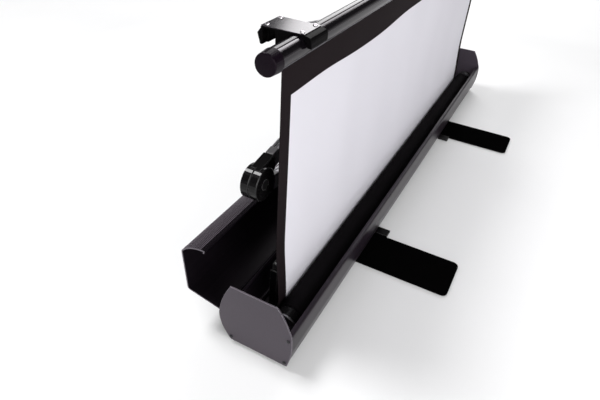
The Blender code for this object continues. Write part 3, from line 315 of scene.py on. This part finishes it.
finishes = {}
for make, rows in ((painted, paints), (drawn_metal, metals), (black_cloth, cloths)):
    for name, row in rows.items():
        finishes[name] = make(name, *row)
bare_above(finishes["cover_gloss"], float(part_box("bracket_cover_left")[1][2]) - SCREW_HEAD, SCREW_GREY)
for name in ("case_finish", "lid_painted_shade", "plate_finish", "bar_metal", "cover_gloss", "cap_moulding"):
    finishes[name].set(Specular_Tint=VIOLET_TINT)

slot_finishes = {
    "case_paint": "case_finish",
    "plate_paint": "plate_finish",
    "black_metal": "black_metal",
    "black_gloss": "cover_gloss",
    "black_plastic": "black_moulding",
    "cap_black": "cap_moulding",
    "rubber": "sole_rubber",
    "collar_grey": "collar_moulding",
    "bar_grey": "bar_metal",
    "grey_metal": "tube_metal",
    "zinc": "pin_metal",
    "dark_steel": "screw_metal",
    "spring_steel": "spring_metal",
    "cloth_black": "roll_cloth",
    "cloth_white": "cloth_back",
}
# Nodes whose finish isn't their slot's, by how their names start. The lid's is a darker copy of the case paint,
# painted shade
node_finishes = {
    "foot_left": "foot_finish",
    "foot_right": "foot_finish",
    "lid_shell": "lid_painted_shade",
    "top_bracket": "bracket_moulding",
    "knuckle_pin": "pin_black",
}
for part in frame["record"]["subparts"]:
    finish = slot_finishes[part["material_slot"]]
    for start, other in node_finishes.items():
        if part["node"].startswith(start):
            finish = other
    materials = nodes[part["node"]].data.materials
    if not materials:
        materials.append(finishes[finish].material)
    for index in range(len(materials)):
        materials[index] = finishes[finish].material


def placed(thing):
    bpy.context.collection.objects.link(thing)
    return thing


def built(bm, name, sharp):
    """The bmesh as a smooth object, with edges sharp that turn by more degrees than given."""
    bmesh.ops.recalc_face_normals(bm, faces=bm.faces)
    for face in bm.faces:
        face.smooth = True
    mesh = bpy.data.meshes.new(name)
    bm.to_mesh(mesh)
    bm.free()
    mesh.set_sharp_from_angle(angle=math.radians(sharp))
    return placed(bpy.data.objects.new(name, mesh))


# Screen cloth
low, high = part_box("screen_cloth")
roll_low, roll_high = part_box("cloth_roll")
bar_low, bar_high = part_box("top_bar")
half = float(high[0])
bottom = float(low[2])
top = float(high[2])
bar_y = float(bar_low[1] + bar_high[1]) / 2
roll_y = float(roll_high[1])
border_z = float(bar_low[2]) - TOP_BORDER


def front_look():
    """White projection face with a printed black border, placed by the sheet's own flat coordinates."""
    look = Look("cloth_front")
    flat = look.node("ShaderNodeUVMap")
    flat.uv_map = "flat"
    along = look.split(flat.outputs["UV"])
    side = half - SIDE_BORDER
    past_side = look.between(look.maths("ABSOLUTE", along["X"]), 0, 1, side - INK_BLUR, side + INK_BLUR)
    past_top = look.between(along["Y"], 0, 1, border_z - INK_BLUR, border_z + INK_BLUR)
    shade = look.between(look.noise((4, 4, 2), 2.0), 0, 1)
    white = look.mix(shade, (0.74, 0.725, 0.78), (0.78, 0.765, 0.82))
    ink = look.mix(shade, (0.0105, 0.0072, 0.0083), (0.0140, 0.0100, 0.0113))
    look.colour(look.mix(look.maths("MAXIMUM", past_side, past_top), white, ink))
    weave = look.noise(WEAVE, 2.0, 0.6)
    look.roughness(weave, 0.62, 0.72)
    look.bump(weave, 0.05, CLOTH_BUMP)
    look.set(Specular_IOR_Level=0.03)
    return look.material


def cloth_y(x, share):
    """The cloth's place from front to back, at a share of its height above the roll."""
    start = roll_y + OFF_ROLL
    rise = min(share * 3, 1)
    flat = start + (bar_y - start) * rise * rise * (3 - 2 * rise)
    swell = math.sqrt(max(math.sin(math.pi * share), 0))
    everywhere = (1 + math.cos(x / half * math.pi / 2 * 3)) / 10
    uneven = everywhere + math.exp(-abs(x - FOLD_X) / FOLD_LONG) / 2
    curl = CURL_DEEP * math.sin(x * CURL_TURN) * swell
    return flat - FOLD_DEEP * math.sin(math.tau * (x - FOLD_X) / FOLD_LONG) * swell * uneven + curl


def slack(x, share):
    """How far the cloth hangs below the bar's straight line, between the two brackets."""
    dips = sum(depth * math.exp(-(((x - middle) / wide) ** 2)) for depth, middle, wide in SLACK_DIPS)
    return SLACK_DEEP * dips * math.sin(math.pi * share**3)


def make_sheet(columns, rows):
    """The cloth between roll and bar: a face, a back and a rim. Its flat map has no waves and no slack."""
    bm = bmesh.new()
    uv = bm.loops.layers.uv.new("flat")
    grid = {}
    uncut = {}
    for side in (0, 1):
        for row in range(rows + 1):
            share = row / rows
            for column in range(columns + 1):
                x = half * (2 * column / columns - 1)
                y = cloth_y(x, share) + (side - 0.5) * CLOTH_THICK
                z = bottom + (top - bottom) * share
                grid[side, row, column] = bm.verts.new((x, y, z - slack(x, share)))
                uncut[grid[side, row, column]] = (x, z)

    def face(corners, index):
        made = bm.faces.new([grid[corner] for corner in corners])
        made.material_index = index
        for loop in made.loops:
            loop[uv].uv = uncut[loop.vert]

    for row in range(rows):
        for column in range(columns):
            square = [(row, column), (row, column + 1), (row + 1, column + 1), (row + 1, column)]
            face([(0, *corner) for corner in square], 0)
            face([(1, *corner) for corner in square[::-1]], 1)
    rim = [(0, column) for column in range(columns)] + [(row, columns) for row in range(rows)]
    rim += [(rows, column) for column in range(columns, 0, -1)] + [(row, 0) for row in range(rows, 0, -1)]
    for here, following in zip(rim, rim[1:] + rim[:1]):
        face([(1, *here), (1, *following), (0, *following), (0, *here)], 1)
    return built(bm, "cloth_sheet", 40)


sheet = make_sheet(180, 70)
sheet.data.materials.append(front_look())
sheet.data.materials.append(finishes["cloth_back"].material)
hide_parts("screen_cloth")
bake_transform(sheet)


# Ribs on the lip of the lid
def lip_line():
    """The lid lip's outer line from its outer corner to its hook, from the node's own end section."""
    spots = {}
    lid_low, lid_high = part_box("lid_shell")
    for vertex in nodes["lid_shell"].data.vertices:
        if vertex.co.x < lid_low[0] + END_SECTION and vertex.co.z > lid_high[2] - LIP_HIGH:
            key = round(vertex.co.y * 1000)
            spots[key] = max(spots.get(key, vertex.co), vertex.co, key=lambda spot: spot.z)
    return [(spots[key].y, spots[key].z) for key in sorted(spots, reverse=True)]


def make_ribs():
    """Rounded ribs that run along the lip of the lid."""
    line = lip_line()
    run = [0.0]
    for start, end in zip(line, line[1:]):
        run.append(run[-1] + math.dist(start, end))

    def at(along):
        index = next((i for i in range(1, len(run)) if run[i] >= along), len(run) - 1)
        share = (along - run[index - 1]) / (run[index] - run[index - 1])
        return Vector(line[index - 1]).lerp(Vector(line[index]), share)

    ends = [float(corner[0]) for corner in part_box("lid_shell")]
    stations = (ends[0] + RIB_INSET, 0.0, ends[1] - RIB_INSET)
    bm = bmesh.new()
    for rib in range(int((run[-1] - RIBLESS) / RIB_PITCH)):
        middle = FIRST_RIB + rib * RIB_PITCH
        along = (at(middle + RIB_WIDE) - at(middle - RIB_WIDE)).normalized()
        out = Vector((-along.y, along.x))
        if out.y < 0:
            out = -out
        section = []
        for point in range(RIB_POINTS + 1):
            turn = math.pi * point / RIB_POINTS
            foot = at(middle) + along * (RIB_WIDE / 2 * math.cos(turn))
            section.append(foot + out * (RIB_TALL * math.sin(turn)))
        section += [section[-1] - out * RIB_ROOT, section[0] - out * RIB_ROOT]
        rows = [[bm.verts.new((x, *spot)) for spot in section] for x in stations]
        for row, following in zip(rows, rows[1:]):
            for index in range(len(section)):
                after = (index + 1) % len(section)
                bm.faces.new((row[index], row[after], following[after], following[index]))
        bm.faces.new(rows[0][::-1])
        bm.faces.new(rows[-1])
    return built(bm, "lid_ribs", 50)


ribs = make_ribs()
# Their lighter colour is a painted highlight
ribs.data.materials.append(finishes["rib_painted_highlight"].material)
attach(ribs, "lid")


# Wound cloth
def make_roll():
    """The cloth wound on its roller: one ribbon in a flat spiral, its laps slightly out of step."""
    low_y, high_y = float(roll_low[1]), float(roll_high[1])
    middle = Vector((0, (low_y + high_y) / 2, float(roll_low[2] + roll_high[2]) / 2))
    outer = (high_y - low_y) / 2 - ROLL_INSET
    wide = float(roll_high[0]) - ROLL_END_INSET
    bm = bmesh.new()
    rows = []
    for index in range(int((outer - CORE_RADIUS) / LAP_PITCH) * LAP_STEPS + 1):
        angle = math.tau * index / LAP_STEPS
        lap = index / LAP_STEPS
        row = []
        for depth in (0, LAP_PITCH * LAP_SHARE):
            for column in range(ROLL_COLUMNS + 1):
                share = 2 * column / ROLL_COLUMNS - 1
                x = share * wide
                if abs(share) == 1:
                    slip = LAP_SLIP * math.sin(lap * 2.3 + (0 if share < 0 else 1.7))
                    x += slip + LAP_SLIP_FINE * math.sin(lap * 5.1)
                wave = ROLL_WAVE * math.sin(x * ROLL_WAVE_TURN + angle * 2) if index <= LAP_STEPS else 0
                across = outer - LAP_PITCH * lap - depth + wave
                spot = (x, across * math.cos(angle), across * math.sin(angle))
                row.append(bm.verts.new(middle + Vector(spot)))
        rows.append(row)
    under = ROLL_COLUMNS + 1
    for here, following in zip(rows, rows[1:]):
        for column in range(ROLL_COLUMNS):
            lower = column + under
            bm.faces.new((here[column], here[column + 1], following[column + 1], following[column]))
            bm.faces.new((here[lower], following[lower], following[lower + 1], here[lower + 1]))
        last = ROLL_COLUMNS
        bm.faces.new((here[0], following[0], following[under], here[under]))
        bm.faces.new((here[last], here[last + under], following[last + under], following[last]))
    for row in (rows[0], rows[-1]):
        for column in range(ROLL_COLUMNS):
            lower = column + under
            bm.faces.new((row[column], row[column + 1], row[lower + 1], row[lower]))
    return built(bm, "wound_cloth", 40)


wound = make_roll()
wound.data.materials.append(finishes["roll_cloth"].material)
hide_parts("cloth_roll")
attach(wound, "roller")


# Floor: pale, and lifted to white further out for the rays that see it, so its shadows stay
floor_mesh = bpy.data.meshes.new("floor")
corners = [(x * FLOOR_HALF, y * FLOOR_HALF, 0) for x, y in ((-1, -1), (1, -1), (1, 1), (-1, 1))]
floor_mesh.from_pydata(corners, [], [(0, 1, 2, 3)])
floor = placed(bpy.data.objects.new("floor", floor_mesh))
floor.location.z = -FLOOR_DROP
pale = Look("floor_pale")
pale.colour(pale.mix(pale.between(pale.noise((2, 2, 2), 2.0), 0, 1), (0.73, 0.73, 0.735), (0.76, 0.76, 0.765)))
pale.set(Roughness=0.75, Specular_IOR_Level=0.2)
reach = pale.node("ShaderNodeVectorMath")
reach.operation = "LENGTH"
pale.link(pale.place, reach.inputs[0])
seen = pale.rays("Is Camera Ray", "Is Glossy Ray", "Is Transmission Ray")
lift = pale.maths("MULTIPLY", seen, pale.between(reach.outputs["Value"], *FLOOR_LIFT, *FLOOR_FADE))
glow = pale.node("ShaderNodeEmission", Color=(1, 1, 1, 1))
pale.link(lift, glow.inputs["Strength"])
both = pale.node("ShaderNodeAddShader")
pale.link(pale.shader.outputs["BSDF"], both.inputs[0])
pale.link(glow.outputs["Emission"], both.inputs[1])
pale.link(both.outputs["Shader"], pale.tree.nodes["Material Output"].inputs["Surface"])
floor_mesh.materials.append(pale.material)


# Light
def area_light(name, spot, target, size, power, tall=None):
    """A round softbox, or an oval one where its other width is given."""
    data = bpy.data.lights.new(name, "AREA")
    data.shape = "ELLIPSE" if tall else "DISK"
    data.size = size
    if tall:
        data.size_y = tall
    data.energy = power
    made = placed(bpy.data.objects.new(name, data))
    made.location = spot
    made.rotation_euler = (Vector(target) - Vector(spot)).to_track_quat("-Z", "Y").to_euler()


area_light("front", (-1.5, -2.2, 1.15), (-0.2, 0, 0.25), 2.1, 47)
area_light("above", (-0.5, 1.2, 2.3), (-0.3, 0, 0.2), 0.8, 44)
area_light("side", (-2.3, -0.5, 1.1), (-0.4, 0, 0.2), 1.2, 10)
area_light("far", (2.18, 0.64, 1.70), (-0.49, 0.02, 0.40), 1.80, 32)
area_light("high", (1.58, 0.075, 1.94), (-0.55, 0.0, 0.45), 1.25, 7, 0.36)

# The world is white to the camera, and dim above the horizon to gloss, as a studio's ceiling is
world = bpy.data.worlds.new("world")
world.use_nodes = True
sky = Tree(world.node_tree)
background = sky.tree.nodes["Background"]
background.inputs["Color"].default_value = (1, 1, 1, 1)
way = sky.split(sky.node("ShaderNodeTexCoord").outputs["Generated"])
pick = sky.node("ShaderNodeMix")
sky.link(sky.rays("Is Glossy Ray"), pick.inputs["Factor"])
seen = sky.rays("Is Camera Ray", "Is Transmission Ray")
sky.link(sky.between(seen, WORLD_LIGHT, 1.0, 0, 1), pick.inputs["A"])
sky.link(sky.between(way["Z"], 1.0, CEILING, *HORIZON), pick.inputs["B"])
sky.link(pick.outputs["Result"], background.inputs["Strength"])
scene = bpy.context.scene
scene.world = world
scene.view_settings.view_transform = "Standard"

# Camera
camera_data = bpy.data.cameras.new("camera")
camera_data.sensor_width = SENSOR
camera_data.lens = FOCAL_PIXELS * SENSOR / PHOTO_WIDTH
camera_data.clip_start = 0.01
camera_data.clip_end = 50
camera = placed(bpy.data.objects.new("camera", camera_data))
right = Vector((0.47599, -0.87795, 0.05131))
down = Vector((-0.50650, -0.32136, -0.80011))
ahead = Vector((0.71895, 0.35486, -0.59765))
turn = Matrix((right, -down, -ahead)).transposed().to_4x4()
camera.matrix_world = Matrix.Translation((-0.9740, -0.2442, 0.6323)) @ turn
scene.camera = camera
